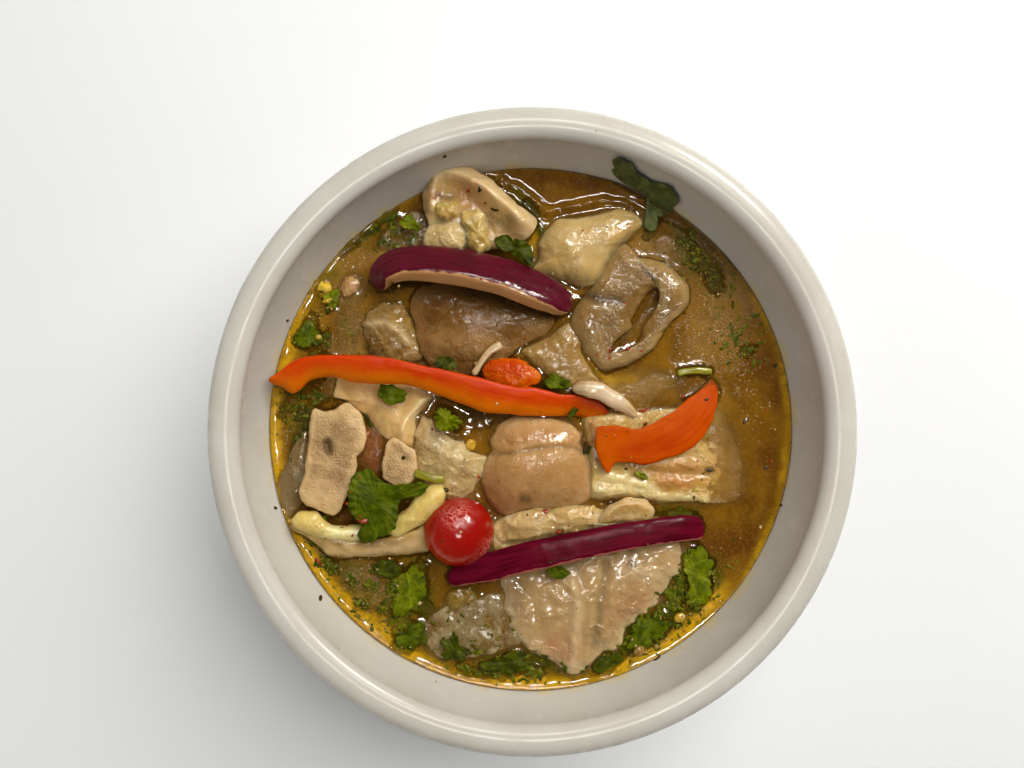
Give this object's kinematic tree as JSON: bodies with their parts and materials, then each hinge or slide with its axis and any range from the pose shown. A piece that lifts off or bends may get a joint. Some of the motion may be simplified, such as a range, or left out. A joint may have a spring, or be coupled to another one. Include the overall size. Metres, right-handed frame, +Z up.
{
  "type": "bowl of cow foot souse",
  "caption": "Round off-white bowl of brown broth holding boiled cow's foot, bones, red onion, sweet pepper, cherry tomato, carrot and herbs; it stands on a foot ring.",
  "frame": {"origin": "centre of the foot ring's underside, where the bowl stands", "axes": "+Z up through the bowl's middle, +X to the right and +Y to the back as the bowl is seen from above"},
  "size_m": [0.1924, 0.1924, 0.07],
  "materials": {
    "bowl_glaze": "glazed off-white stoneware, glossy",
    "broth": "murky brown broth with drops of oil and flecks of herb",
    "tomato": "wet red tomato skin",
    "pepper": "wet red to orange sweet pepper",
    "red_onion": "wet purple onion skin with a pink cut face",
    "pale_onion": "wet translucent onion",
    "carrot": "wet boiled carrot",
    "skin": "wet boiled skin and gristle, tan to grey",
    "jelly": "wet translucent jelly, tan",
    "fat": "soft pale yellow fat, wet",
    "bone": "porous boiled bone, tan, damp",
    "leaf": "wet wilted green herb leaf",
    "stem": "wet green herb stem",
    "root_cubes": "wet diced garlic, shallot and pulp"
  },
  "bodies": {
    "root": {"bowl": "bowl_glaze", "cherry_tomato": "tomato", "leaf_flat": "leaf", "leaf_round": "leaf", "leaf_frilled": "leaf", "stem_left": "stem", "leaf_tucked": "leaf", "pepper_strip_long": "pepper", "red_onion_upper": "red_onion", "red_onion_lower": "red_onion", "pepper_strip_short": "pepper", "onion_sliver_pale": "pale_onion", "onion_strip_white": "pale_onion", "carrot_slice": "carrot", "leaf_by_carrot": "leaf", "leaf_by_cup": "leaf", "leaf_behind": "leaf", "leaf_on_slab": "leaf", "leaf_sprig": "leaf", "skin_knob": "skin", "twin_joint": "skin", "skin_strip": "skin", "bone_small": "bone", "bone_large": "bone", "skin_between": "skin", "ridged_skin": "skin", "trough_fat_right": "fat", "mid_jelly": "jelly", "trough_fat_left": "fat", "trough_skin": "skin", "grey_skin": "skin", "cup_fat_left": "fat", "cup_fat_right": "fat", "cup_jelly": "jelly", "cup_skin": "skin", "skin_behind": "skin", "knuckle": "skin", "ring_skin": "skin", "pale_fat": "fat", "gristle": "skin", "brown_pad": "skin", "pale_block": "jelly", "jelly_slab": "jelly", "sunken_jelly": "jelly", "leaf_on_wall": "leaf", "leaf_bright_right": "leaf", "leaf_far_left": "leaf", "leaf_tall_left": "leaf", "leaf_front_bright": "leaf", "leaf_front_dark": "leaf", "leaf_front_low": "leaf", "leaf_front_edge": "leaf", "herbs_right": "leaf", "leaf_under_slab": "leaf", "stem_right": "stem", "garlic_cube": "root_cubes", "shallot_cube": "root_cubes", "pulp_cube": "root_cubes", "broth": "broth"}
  },
  "joints": []
}
